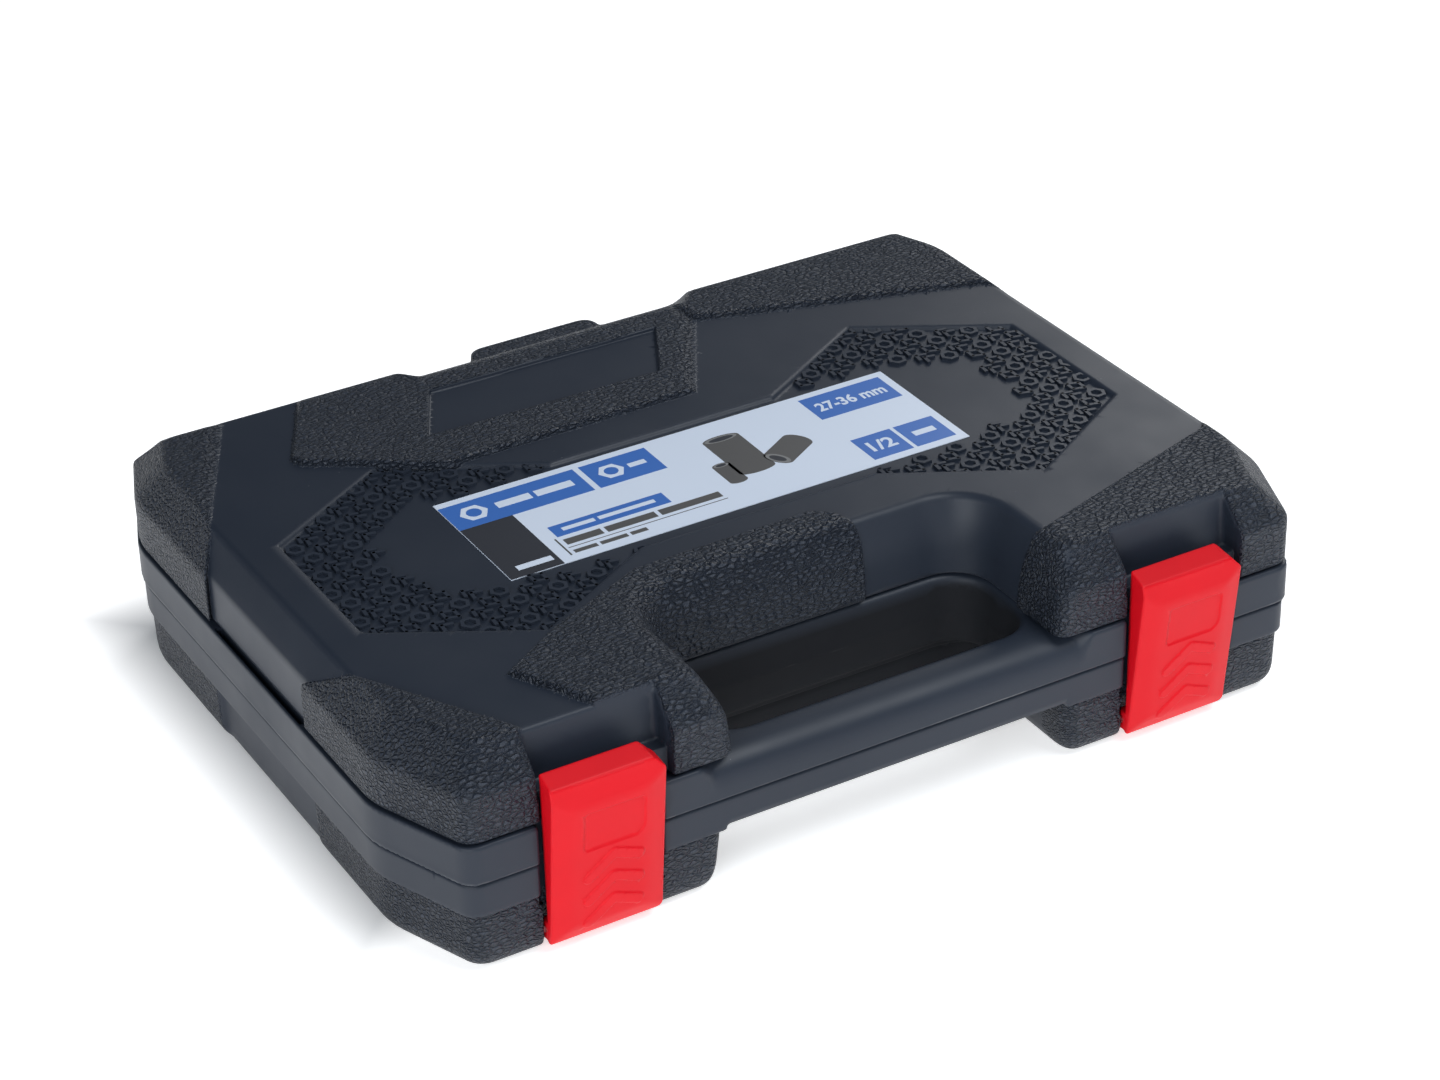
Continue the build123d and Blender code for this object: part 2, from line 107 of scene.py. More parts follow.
CAVITY = [(-122.5, 60), (-122.5, 40), (-113, 17), (-63, 17), (-63, 60), (63, 60), (63, 17), (113, 17), (122.5, 40), (122.5, 174),
          (115.5, 189), (60, 189), (56, 185), (-56, 185), (-60, 189), (-115.5, 189), (-122.5, 174)]


def pads2d(x, y):
    return [(poly(PAD_FL, x, y), 1.5), (poly(PAD_ARROW, x, y), 0.9), (poly(PAD_FR, x, y), 1.0),
            (poly(PAD_BL, x, y), 4.4), (poly(PAD_TRAP, x, y), 1.1 + 3.0 * step(17, 22, x)), (poly(PAD_BR, x, y), 1.9)]


def notch(x, y, z, grow):
    """The gap behind the carry bar, opening upwards in two drafts."""
    d2 = rrect(x, y, 50.6, -80, 46.6, 12.0) + grow
    return smin((d2 - 0.10 * z) * 0.995, (d2 - 1.3 - 0.45 * (z - 13.0)) * 0.912, 1.6)


def lid(x, y, z, mask=False):
    ax = np.abs(x)
    D = outline(ax, y)
    # the back slope starts further in along the middle
    yb = 196.0 - 6.0 * (1 - step(43, 50, ax))
    run = 204.0 - yb
    nb = np.hypot(8.0, run)

    def roof(top, wall, sx, k, bk=0.0):
        body = smax(D + wall, z - top, k)
        body = smax(body, ((D + sx) * (top - 14.5) + (z - top) * (sx - wall)) / math.hypot(top - 14.5, sx - wall), k)
        return smax(body, ((y - yb + bk) * 8.0 + (z - top) * run) / nb, k)

    smooth = roof(22.5, 1.9, 8.6, 0.75)
    recess = smax((poly(HEX, x, y) - (z - 21.3) * 0.7) * 0.82, 21.3 - z, 0.5)
    smooth = smax(smooth, -recess, 0.7)
    smooth = smax(smooth, -notch(x, y, z, 0.0), 1.8)
    high = roof(24.0, 0.55, 10.0, 1.1, 2.4)
    high = smax(high, -notch(x, y, z, 1.3), 4.5)
    panel = smax(poly(PANEL, x, y) + 0.2, 22.7 - z, 0.4)
    high = smax(high, -panel, 0.6)
    pads = None
    for m, w in pads2d(x, y):
        side = (m * 1.7 + (z - 22.3) * w) / np.hypot(1.7, w)
        side = smax(side, m - 0.1, 0.5)
        p = smax(high, side, 0.65)
        pads = p if pads is None else np.minimum(pads, p)
    if mask:
        pocket = np.minimum(np.abs(x + 86.55) - 18.75, 99.0)
        pocket = np.maximum(np.minimum(pocket, np.abs(x - 89.95) - 18.55), y - 9.6 - 0.1 * (z - 20))
        inside = (poly(CAVITY, x, y) < 1.5) & (z < 20.2)
        return np.clip((smooth - pads) / 0.35 + 0.35, 0, 1) * (poly(PANEL, x, y) > 0.2) * (z > 0.9) * np.clip((pocket - 0.25) / 0.5, 0, 1) * ~inside
    d = smin(smooth, pads, 0.35)
    # finger pockets over the latches
    for lo, hi in ((-105.3, -67.8), (71.4, 108.5)):
        px = np.abs(x - (lo + hi) / 2) - (hi - lo) / 2
        d = smax(d, -smax(smax(px, y - 9.6 - 0.1 * (z - 20), 1.5), 8.0 - z, 0.5), 1.6)
        d = smax(d, -np.maximum(px, y - 3.5), 0.6)
    # rear foot of the lid, standing in the back slope
    foot = smax(smax(ax - 21, y - 206.2, 5), smax(190 - y, z - 17.6, 1.5), 1.4)
    d = smin(d, foot, 0.8)
    d = smax(d, 0.6 - z, 0.9)
    # inside of the lid
    d = smax(d, -smax(poly(CAVITY, x, y), z - 19.2, 3.0), 0.8)
    # room for the hinge knuckles
    return np.maximum(d, -np.maximum(np.hypot(y - 206.4, z) - 4.6, np.abs(ax - 82) - 16.6))


def base(x, y, z, mask=False):
    ax = np.abs(x)
    D = outline(ax, y)
    kf = 0.8 + 9.6 * (1 - step(55, 61, ax)) * (y < 20)
    band = smax(D, z, kf)
    band = np.where(z < -10.8, D + 0.62 + 0.85 * np.exp(-((z + 11.55) / 0.5) ** 2), band)
    ridge = np.maximum(D + 0.09, np.abs(z + 10.8) - 0.45)
    band = smin(smax(band, -21.5 - z, 0.9), ridge, 0.3)
    low = smax(D + 1.7 + 0.022 * (-21.5 - z), -40 - z, 7.0)
    low = np.maximum(low, z + 20.5)
    mid = smax(smax(133.9 - ax, np.abs(y - 103) - 31, 2.5), z + 23.3, 2.0)
    low = smax(low, -mid, 1.6)
    under = rrect(x, y, 52.4, -60, 44.7, 11.0) - 0.12 * np.maximum(-21 - z, 0)
    low = smax(low, -under, 5.0)
    d = smin(band, low, 0.6)
    d = smax(d, -smax(rrect(x, y, 52.4, -60, 44.7, 11.0), z + 20.0, 0.8), 1.0)
    # opening behind the bar: a funnel down to the parting line, then straight
    fun = (rrect(x, y, 48.6, 14.6, 44.0, 10.0) - 0.24 * np.maximum(z + 10.8, 0)) * 0.97
    d = smax(d, -fun, 2.2)
    # latch recesses and the cavities their barrels turn in
    lx = np.abs(ax - 88.6)
    d = smax(d, -np.maximum(np.maximum(lx - 17.4, -25 - z), y - 3.6), 1.2)
    d = np.maximum(d, -np.maximum(lx - 16.6, y - 3.6))
    d = smax(d, -np.maximum(np.maximum(lx - 16.6, y - 10), z + 26.5), 0.5)
    foot = smax(smax(ax - 21, y - 206.0, 6), smax(190 - y, smax(z + 1, -34 - z, 3), 2), 2)
    d = smin(d, foot, 0.6)
    r = np.hypot(y - 206.4, z)
    d = np.maximum(d, -np.maximum(r - 4.6, np.abs(ax - 82) - 8.4))
    if mask:
        t = np.clip((-21.8 - z) / 0.5, 0, 1) * (1 - np.clip((1.2 - mid) / 0.6, 0, 1) * (ax > 130))
        # the opening's well is returned as negative values, a mask for painted shade in the material
        painted_well_shade = np.clip((-0.8 - z) / 2.0, 0, 1) * (fun < 0.6) * (fun > -2.0) * (y > 12)
        painted_well_shade = np.maximum(painted_well_shade, (z < -17) * (ax < 54) * (y > 38) * (y < 50) * 1.0)
        return t * (y > -1) * (under > -0.2) * (z > -39.7) * (D > -12) * (1 - painted_well_shade) - painted_well_shade
    # inner deck, rim slots, wells
    deck = smax(-smin(-(D + 13), -smax(-(ax - 63), -(y - 57.5), 3), 3), -4 - z, 2)
    d = smax(d, -deck, 0.8)
    d = np.maximum(d, -np.maximum(np.maximum(np.abs(ax - 135.6) - 0.85, np.abs(y - 101) - 27.5), -3 - z))
    for od, le, sx, sy in SOCKETS.values():
        w = np.maximum(np.hypot(x - sx, y - sy) - od / 2 - 0.7, -36 - z)
        d = smax(d, -w, 1.4)
    return d


def seg(u, v, a, b):
    ex, ey = b[0] - a[0], b[1] - a[1]
    t = np.clip(((u - a[0]) * ex + (v - a[1]) * ey) / (ex * ex + ey * ey), 0, 1)
    return np.hypot(u - a[0] - ex * t, v - a[1] - ey * t)


def latch(x, y, z, mask=False):
    """One latch, x measured from its centre line."""
    n = math.hypot(48.5, 5.3)
    front = (-(y + 6.4) * 48.5 - (z - 11.2) * 5.3) / n
    v = ((y + 1.1) * -5.3 + (z + 37.3) * 48.5) / n          # up along the face, 0 at the foot
    top = (-(y + 6.4) * 3.3 + (z - 11.2) * 8.0) / 8.65
    g = 0.22
    f = smax(front, front * 0.976 + (np.abs(x) - 10.6) * g, 0.4)
    f = smax(f, front * 0.985 + (v - 42.9) * 0.34, 0.4)
    f = smax(f, front * 0.985 + (4.6 - v) * 0.34, 0.4)
    pad = smax(smax(np.abs(x - 1.1) - 8.6, np.abs(v - 34.4) - 6.0, 1.6), ((x - 1.1) * 0.7 - (v - 34.4) * 0.7 - 8.9), 1.0)
    f = f + 0.42 * (1 - step(-0.22, 0.22, pad))
    for k in range(3):
        c = np.minimum(seg(x, v, (-6.2, 19.6 - 7.4 * k), (1.1, 25.4 - 7.4 * k)), seg(x, v, (1.1, 25.4 - 7.4 * k), (8.0, 22.4 - 7.4 * k))) - 1.55
        f = f - 0.42 * (1 - step(-0.22, 0.22, c))
    d = smax(f, np.abs(x) - 16.15, 0.55)
    d = smax(d, top, 0.6)
    d = smax(d, y - 1.6, 0.6)
    d = smax(d, -37.2 - z, 1.0)
    d = smax(d, (x * 0.72 + v * 0.69 - 16.15 * 0.72 - 48.0 * 0.69 + 1.3), 0.5)
    d = smax(d, (x * 0.72 - v * 0.69 - 16.15 * 0.72 + 1.0), 0.5)
    hollow = np.maximum(np.maximum(np.abs(x) - 14, front + 2.3), np.maximum(top + 2.4, -29.5 - z))
    d = smax(d, -hollow, 0.5)
    barrel = np.maximum(np.hypot(y - 3.9, z + 33.5) - 2.8, np.abs(x) - 16.1)
    web = np.maximum(np.maximum(np.abs(y - 2.4) - 1.5, np.abs(z + 33.4) - 2.8), np.abs(x) - 16.1)
    d = smin(d, np.minimum(barrel, web), 0.5)
    nose = smax(np.maximum(np.abs(x) - 10, np.abs(z - 10.1) - 1.5), np.maximum(y - 3.15, -4.4 - y), 0.3)
    d = smin(d, nose, 0.4)
    return np.maximum(d, -(np.hypot(y - 3.9, z + 33.5) - 1.3))


def skin(name, f, lo, hi, h, adapt, dx=0.0, attr=False):
    """A mesh of the zero surface of f over a box in the modelling frame."""
    n = [int(round((hi[i] - lo[i]) / h)) + 1 for i in range(3)]
    X = (lo[0] + h * np.arange(n[0], dtype=np.float32))[:, None, None]
    Y = (lo[1] + h * np.arange(n[1], dtype=np.float32))[None, :, None]
    Z = (lo[2] + h * np.arange(n[2], dtype=np.float32))[None, None, :]
    d = np.clip(f(X, Y, Z), -3 * h, 3 * h).astype(np.float32)
    grid = openvdb.FloatGrid(3 * h)
    grid.copyFromArray(d)
    pts, tris, quads = grid.convertToPolygons(isovalue=0.0, adaptivity=adapt)
    P = pts.astype(np.float64) * h + np.array(lo)

    def grad(P, e):
        g = np.stack([f(P[:, 0] + e, P[:, 1], P[:, 2]) - f(P[:, 0] - e, P[:, 1], P[:, 2]),
                      f(P[:, 0], P[:, 1] + e, P[:, 2]) - f(P[:, 0], P[:, 1] - e, P[:, 2]),
                      f(P[:, 0], P[:, 1], P[:, 2] + e) - f(P[:, 0], P[:, 1], P[:, 2] - e)], 1)
        return g / np.maximum(np.linalg.norm(g, axis=1, keepdims=True), 1e-9)

    for _ in range(2):
        g = grad(P, 0.3 * h)
        P -= g * np.clip(f(P[:, 0], P[:, 1], P[:, 2]), -0.35 * h, 0.35 * h)[:, None]
    N = grad(P, 0.5 * h)
    faces = [tuple(int(i) for i in q[::-1]) for q in quads] + [tuple(int(i) for i in t[::-1]) for t in tris]
    W = np.stack([(P[:, 0] + dx), P[:, 1] + YO, P[:, 2] + ZO], 1) / 1000.0
    me = bpy.data.meshes.new(name)
    me.from_pydata(W.tolist(), [], faces)
    me.validate(clean_customdata=False)
    me.update()
    # faces look outwards, as the distance grows
    fn = np.zeros(len(me.polygons) * 3); me.polygons.foreach_get("normal", fn)
    fv = np.array([p.vertices[0] for p in me.polygons])
    if (fn.reshape(-1, 3) * N[fv]).sum() < 0:
        me.flip_normals()
    me.polygons.foreach_set("use_smooth", [True] * len(me.polygons))
    if attr:
        # the attribute holds the grain mask, and its negative values mark painted shade in the carry opening
        a = me.attributes.new("grain", 'FLOAT', 'POINT')
        a.data.foreach_set("value", f(P[:, 0], P[:, 1], P[:, 2], True).astype(np.float32))
    me.normals_split_custom_set_from_vertices([tuple(v) for v in N.tolist()])
    ob = bpy.data.objects.new(name, me)
    bpy.context.scene.collection.objects.link(ob)
    print("SKIN", name, len(P), len(faces), flush=True)
    return ob


# ------------------------------------------------------------------ materials
def nodes_of(name):
    m = bpy.data.materials.new(name)
    m.use_nodes = True
    nt = m.node_tree
    b = nt.nodes["Principled BSDF"]
    return m, nt, b


def add(nt, kind, **vals):
    n = nt.nodes.new(kind)
    for k, v in vals.items():
        if k in n.bl_rna.properties:
            setattr(n, k, v)
        else:
            n.inputs[k.replace("_", " ")].default_value = v
    return n


def math_node(nt, op, a, b=None, c=None, clamp=False):
    n = nt.nodes.new("ShaderNodeMath")
    n.operation = op
    n.use_clamp = clamp
    for i, v in enumerate((a, b, c)):
        if v is None:
            continue
        if hasattr(v, "links"):
            nt.links.new(v, n.inputs[i])
        else:
            n.inputs[i].default_value = v
    return n.outputs[0]


def mixc(nt, fac, a, b):
    n = nt.nodes.new("ShaderNodeMix")
    n.data_type = 'RGBA'
    for sock, v in ((n.inputs[0], fac), (n.inputs[6], a), (n.inputs[7], b)):
        if hasattr(v, "links"):
            nt.links.new(v, sock)
        else:
            sock.default_value = v
    return n.outputs[2]


def mixf(nt, fac, a, b):
    n = nt.nodes.new("ShaderNodeMix")
    n.data_type = 'FLOAT'
    for sock, v in ((n.inputs[0], fac), (n.inputs[2], a), (n.inputs[3], b)):
        if hasattr(v, "links"):
            nt.links.new(v, sock)
        else:
            sock.default_value = v
    return n.outputs[0]


def noise(nt, vec, scale, detail=2.0, rough=0.5):
    n = nt.nodes.new("ShaderNodeTexNoise")
    n.inputs["Scale"].default_value = scale
    n.inputs["Detail"].default_value = detail
    n.inputs["Roughness"].default_value = rough
    nt.links.new(vec, n.inputs["Vector"])
    return n.outputs[0]


def stretch(nt, vec, s):
    n = nt.nodes.new("ShaderNodeMapping")
    n.inputs["Scale"].default_value = s
    nt.links.new(vec, n.inputs["Vector"])
    return n.outputs[0]


def ramp(nt, v, lo, hi):
    n = nt.nodes.new("ShaderNodeMapRange")
    n.inputs["From Min"].default_value = lo
    n.inputs["From Max"].default_value = hi
    nt.links.new(v, n.inputs["Value"])
    return n.outputs[0]


def case_plastic():
    m, nt, b = nodes_of("case_plastic")
    co = nt.nodes.new("ShaderNodeTexCoord").outputs["Object"]
    at = nt.nodes.new("ShaderNodeAttribute"); at.attribute_name = "grain"
    grain = math_node(nt, 'MAXIMUM', at.outputs["Fac"], 0.0)
    # negative values of the attribute mark the carry opening's well, where shade is painted into the colour
    painted_pit_shade = math_node(nt, 'MAXIMUM', math_node(nt, 'MULTIPLY', at.outputs["Fac"], -1.0), 0.0)
    # leather grain: warped cells, creases between them, finer wrinkles on top
    warp = noise(nt, co, 420, 2)
    wv = nt.nodes.new("ShaderNodeVectorMath"); wv.operation = 'SCALE'; wv.inputs["Scale"].default_value = 0.0011
    wn = nt.nodes.new("ShaderNodeTexNoise"); wn.inputs["Scale"].default_value = 520; wn.inputs["Detail"].default_value = 2
    nt.links.new(co, wn.inputs["Vector"]); nt.links.new(wn.outputs["Color"], wv.inputs[0])
    av = nt.nodes.new("ShaderNodeVectorMath"); av.operation = 'ADD'
    nt.links.new(co, av.inputs[0]); nt.links.new(wv.outputs[0], av.inputs[1])
    sv = stretch(nt, av.outputs[0], (0.55, 1.0, 1.2))
    vo = nt.nodes.new("ShaderNodeTexVoronoi"); vo.feature = 'DISTANCE_TO_EDGE'; vo.inputs["Scale"].default_value = 730
    nt.links.new(sv, vo.inputs["Vector"])
    cells = ramp(nt, vo.outputs["Distance"], 0.0, 0.24)
    vo2 = nt.nodes.new("ShaderNodeTexVoronoi"); vo2.feature = 'SMOOTH_F1'; vo2.inputs["Scale"].default_value = 1250
    nt.links.new(sv, vo2.inputs["Vector"])
    fine = noise(nt, sv, 1500, 3, 0.6)
    hgt = math_node(nt, 'ADD', math_node(nt, 'MULTIPLY', cells, 0.95), math_node(nt, 'MULTIPLY', fine, 0.35))
    hgt = math_node(nt, 'SUBTRACT', hgt, math_node(nt, 'MULTIPLY', vo2.outputs["Distance"], 0.35))
    hgt = math_node(nt, 'MULTIPLY', hgt, grain)
    bump = nt.nodes.new("ShaderNodeBump"); bump.inputs["Distance"].default_value = 0.00095; bump.inputs["Strength"].default_value = 1.0
    nt.links.new(hgt, bump.inputs["Height"])
    # the smooth faces: soft waviness of blow moulding and a very fine tooth
    wav = math_node(nt, 'ADD', math_node(nt, 'MULTIPLY', noise(nt, co, 28, 2), 1.0), math_node(nt, 'MULTIPLY', noise(nt, co, 2600, 2), 0.02))
    bump2 = nt.nodes.new("ShaderNodeBump"); bump2.inputs["Distance"].default_value = 0.0011; bump2.inputs["Strength"].default_value = 0.35
    nt.links.new(wav, bump2.inputs["Height"]); nt.links.new(bump.outputs[0], bump2.inputs["Normal"])
    nt.links.new(bump2.outputs[0], b.inputs["Normal"])
    # colour: blue-black, painted highlight making the crowns of the grain lighter, faint scuffs and dust
    base_c = mixc(nt, ramp(nt, noise(nt, co, 9, 3), 0.35, 0.65), (0.0160, 0.0218, 0.0345, 1), (0.0198, 0.0262, 0.0400, 1))
    crown_sheen = math_node(nt, 'MULTIPLY', cells, math_node(nt, 'MULTIPLY', grain, 0.36))
    col = mixc(nt, crown_sheen, base_c, (0.046, 0.055, 0.076, 1))
    scr = ramp(nt, noise(nt, stretch(nt, co, (1.0, 6.0, 3.0)), 130, 4, 0.7), 0.66, 0.78)
    col = mixc(nt, math_node(nt, 'MULTIPLY', scr, 0.10), col, (0.10, 0.105, 0.115, 1))
    dv = nt.nodes.new("ShaderNodeTexVoronoi"); dv.inputs["Scale"].default_value = 210
    nt.links.new(co, dv.inputs["Vector"])
    dot = math_node(nt, 'LESS_THAN', dv.outputs["Distance"], 0.035)
    rare = math_node(nt, 'GREATER_THAN', noise(nt, co, 60, 1), 0.6)
    col = mixc(nt, math_node(nt, 'MULTIPLY', math_node(nt, 'MULTIPLY', dot, rare), 0.35), col, (0.25, 0.26, 0.27, 1))
    # pale moulding flash along the parting line of the lower half
    sep = nt.nodes.new("ShaderNodeSeparateXYZ"); nt.links.new(co, sep.inputs[0])
    dz = math_node(nt, 'ABSOLUTE', math_node(nt, 'SUBTRACT', math_node(nt, 'ADD', sep.outputs[2], math_node(nt, 'MULTIPLY', math_node(nt, 'SUBTRACT', noise(nt, co, 90, 2), 0.5), 0.0006)), 0.0292))
    line = math_node(nt, 'SUBTRACT', 1.0, ramp(nt, dz, 0.00008, 0.00030))
    broken = ramp(nt, noise(nt, co, 55, 4, 0.7), 0.52, 0.66)
    col = mixc(nt, math_node(nt, 'MULTIPLY', math_node(nt, 'MULTIPLY', line, broken), 0.55), col, (0.16, 0.165, 0.17, 1))
    # painted shade: the well of the carry opening is painted near black, darker than the outside
    col = mixc(nt, math_node(nt, 'MULTIPLY', painted_pit_shade, 0.85), col, (0.002, 0.002, 0.003, 1))
    nt.links.new(col, b.inputs["Base Color"])
    rough = mixf(nt, grain, ramp(nt, noise(nt, co, 40, 3), 0.2, 0.8), 0.5)
    r2 = math_node(nt, 'ADD', 0.40, math_node(nt, 'MULTIPLY', rough, 0.12))
    r2 = math_node(nt, 'ADD', r2, math_node(nt, 'MULTIPLY', painted_pit_shade, 0.35))
    nt.links.new(r2, b.inputs["Roughness"])
    b.inputs["Specular IOR Level"].default_value = 0.34
    return m


def plain(name, color, rough, metallic=0.0, bump=0.0, scale=900, spec=0.5, var=0.08, coat=0.0, sss=0.0):
    m, nt, b = nodes_of(name)
    co = nt.nodes.new("ShaderNodeTexCoord").outputs["Object"]
    c2 = tuple(min(1.0, v * (1 + var) + var * 0.01) for v in color[:3]) + (1,)
    n1 = noise(nt, co, scale * 0.05, 3)
    nt.links.new(mixc(nt, ramp(nt, n1, 0.35, 0.65), tuple(color[:3]) + (1,), c2), b.inputs["Base Color"])
    n2 = noise(nt, co, scale, 3, 0.6)
    r = math_node(nt, 'ADD', rough - 0.05, math_node(nt, 'MULTIPLY', n2, 0.10))
    nt.links.new(r, b.inputs["Roughness"])
    b.inputs["Metallic"].default_value = metallic
    b.inputs["Specular IOR Level"].default_value = spec
    b.inputs["Coat Weight"].default_value = coat
    if sss:
        b.inputs["Subsurface Weight"].default_value = sss
        b.inputs["Subsurface Radius"].default_value = (0.004, 0.0008, 0.0005)
        b.inputs["Subsurface Scale"].default_value = 0.5
    if bump:
        bp = nt.nodes.new("ShaderNodeBump"); bp.inputs["Distance"].default_value = bump; bp.inputs["Strength"].default_value = 0.5
        nt.links.new(n2, bp.inputs["Height"]); nt.links.new(bp.outputs[0], b.inputs["Normal"])
    return m


M_CASE = case_plastic()
M_RELIEF = plain("relief_plastic", (0.020, 0.026, 0.039), 0.42, bump=0.00003, scale=1500, spec=0.25)
M_RED = plain("latch_red", (0.655, 0.0028, 0.010), 0.44, bump=0.00002, scale=1800, var=0.03, spec=0.20)
M_WHITE = plain("label_white", (0.67, 0.74, 0.86), 0.33, var=0.01, scale=700)
M_BLUE = plain("label_blue", (0.045, 0.150, 0.48), 0.33, var=0.03, scale=700)
M_BLACK = plain("label_black", (0.030, 0.032, 0.040), 0.36, var=0.05, scale=700)
M_GREY = plain("label_grey", (0.085, 0.083, 0.082), 0.36, var=0.05, scale=700)
M_GREY2 = plain("label_grey_light", (0.20, 0.20, 0.20), 0.36, var=0.05, scale=700)
M_STEEL = plain("pin_steel", (0.55, 0.56, 0.58), 0.28, metallic=1.0, bump=0.00002, scale=2500)
M_SOCKET = plain("socket_phosphate", (0.030, 0.031, 0.033), 0.46, metallic=0.35, bump=0.00004, scale=1600, var=0.25)


def dress(ob, mat, body):
    ob.data.materials.clear()
    ob.data.materials.append(mat)
    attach(ob, body)
    return ob


# ------------------------------------------------------------------ the two halves and the latches
H = 0.52
lid_ob = skin("lid_shell_visual", lid, (-139.5, -2.5, -0.9), (139.5, 208.5, 25.6), H, 0.02, attr=True)
dress(lid_ob, M_CASE, "lid"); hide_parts("lid_shell")
base_ob = skin("base_shell_visual", base, (-139.5, -2.5, -41.6), (139.5, 208.5, 1.4), H + 0.1, 0.02, attr=True)
dress(base_ob, M_CASE, "base"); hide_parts("base_shell")
for side, s in (("left", -1), ("right", 1)):
    lo = skin("latch_%s_visual" % side, latch, (-17.2, -8.2, -38.6), (17.2, 7.6, 16.4), 0.3, 0.01, dx=s * 88.6)
    dress(lo, M_RED, side + "_latch"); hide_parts("latch_" + side)


def mesh_object(name, bm, mat, body, smooth=False):
    me = bpy.data.meshes.new(name)
    bmesh.ops.recalc_face_normals(bm, faces=bm.faces)
    bm.to_mesh(me); bm.free()
    if smooth:
        me.polygons.foreach_set("use_smooth", [True] * len(me.polygons))
    ob = bpy.data.objects.new(name, me)
    bpy.context.scene.collection.objects.link(ob)
    return dress(ob, mat, body)


def prism(bm, pts, z0, z1):
    """A closed upright prism over plan points in the modelling frame."""
    lo = [bm.verts.new((x / 1000, (y + YO) / 1000, (z0 + ZO) / 1000)) for x, y in pts]
    hi = [bm.verts.new((x / 1000, (y + YO) / 1000, (z1 + ZO) / 1000)) for x, y in pts]
    bm.faces.new(hi); bm.faces.new(lo[::-1])
    n = len(pts)
    for i in range(n):
        bm.faces.new((lo[i], lo[(i + 1) % n], hi[(i + 1) % n], hi[i]))


def xprism(bm, pts, x0, x1):
    """A closed prism along X over (y, z) points in the modelling frame."""
    a = [bm.verts.new((x0 / 1000, (y + YO) / 1000, (z + ZO) / 1000)) for y, z in pts]
    b = [bm.verts.new((x1 / 1000, (y + YO) / 1000, (z + ZO) / 1000)) for y, z in pts]
    bm.faces.new(a); bm.faces.new(b[::-1])
    n = len(pts)
    for i in range(n):
        bm.faces.new((a[i], b[i], b[(i + 1) % n], a[(i + 1) % n]))


def knuckle(bm, x0, x1, up):
    """A hinge knuckle with its web, open along its bore."""
    n = 40
    R, r = 4.0, 1.8
    ring = []
    for i in range(n):
        t = 2 * math.pi * i / n
        ring.append((206.4 + R * math.cos(t), R * math.sin(t)))
    bore = [(206.4 + r * math.cos(2 * math.pi * i / n), r * math.sin(2 * math.pi * i / n)) for i in range(n)]
    vs = []
    for x in (x0, x1):
        vs.append([[bm.verts.new((x / 1000, (y + YO) / 1000, (z + ZO) / 1000)) for y, z in loop] for loop in (ring, bore)])
    for i in range(n):
        j = (i + 1) % n
        bm.faces.new((vs[0][0][i], vs[0][0][j], vs[1][0][j], vs[1][0][i]))
        bm.faces.new((vs[0][1][j], vs[0][1][i], vs[1][1][i], vs[1][1][j]))
        bm.faces.new((vs[0][0][j], vs[0][0][i], vs[0][1][i], vs[0][1][j]))
        bm.faces.new((vs[1][0][i], vs[1][0][j], vs[1][1][j], vs[1][1][i]))
    if up:
        xprism(bm, [(201.5, 0.7), (203.6, 0.7), (206.4, 3.99), (203.4, 9), (201.5, 9)], x0, x1)
    else:
        xprism(bm, [(201.5, -0.7), (201.5, -10), (204.4, -10), (206.4, -3.99), (203.6, -0.7)], x0, x1)


bm = bmesh.new()
for s in (-1, 1):
    knuckle(bm, s * 82 - 7.5, s * 82 + 7.5, True)
mesh_object("lid_knuckles", bm, M_CASE, "lid")
bm = bmesh.new()
for s in (-1, 1):
    for k in (-1, 1):
        knuckle(bm, s * 82 + k * 12 - 4, s * 82 + k * 12 + 4, False)
mesh_object("base_knuckles", bm, M_CASE, "base")

# ------------------------------------------------------------------ relief pattern in the two hexagons: rows of nuts, chevrons and lozenges
ISLE = [(59, 119), (77, 122), (96.5, 110), (96.5, 87.5), (77, 75), (59, 79)]


def clear(px, py, r):
    """True where a relief mark of radius r lies in the hexagon band, off the plain islands and the label."""
    x, y = np.array(float(px)), np.array(float(py))
    if float(poly(HEX, x, y)) > 1.6 or 36 > abs(px):
        return False
    if float(poly(ISLE, np.abs(x), y)) < r * 0.45:
        return False
    if any(float(m) < -1.5 for m, w in pads2d(x, y)):
        return False
    return max(-73.2 - px, px - 70.9, 75.5 - py, py - 121.8) > r + 0.3


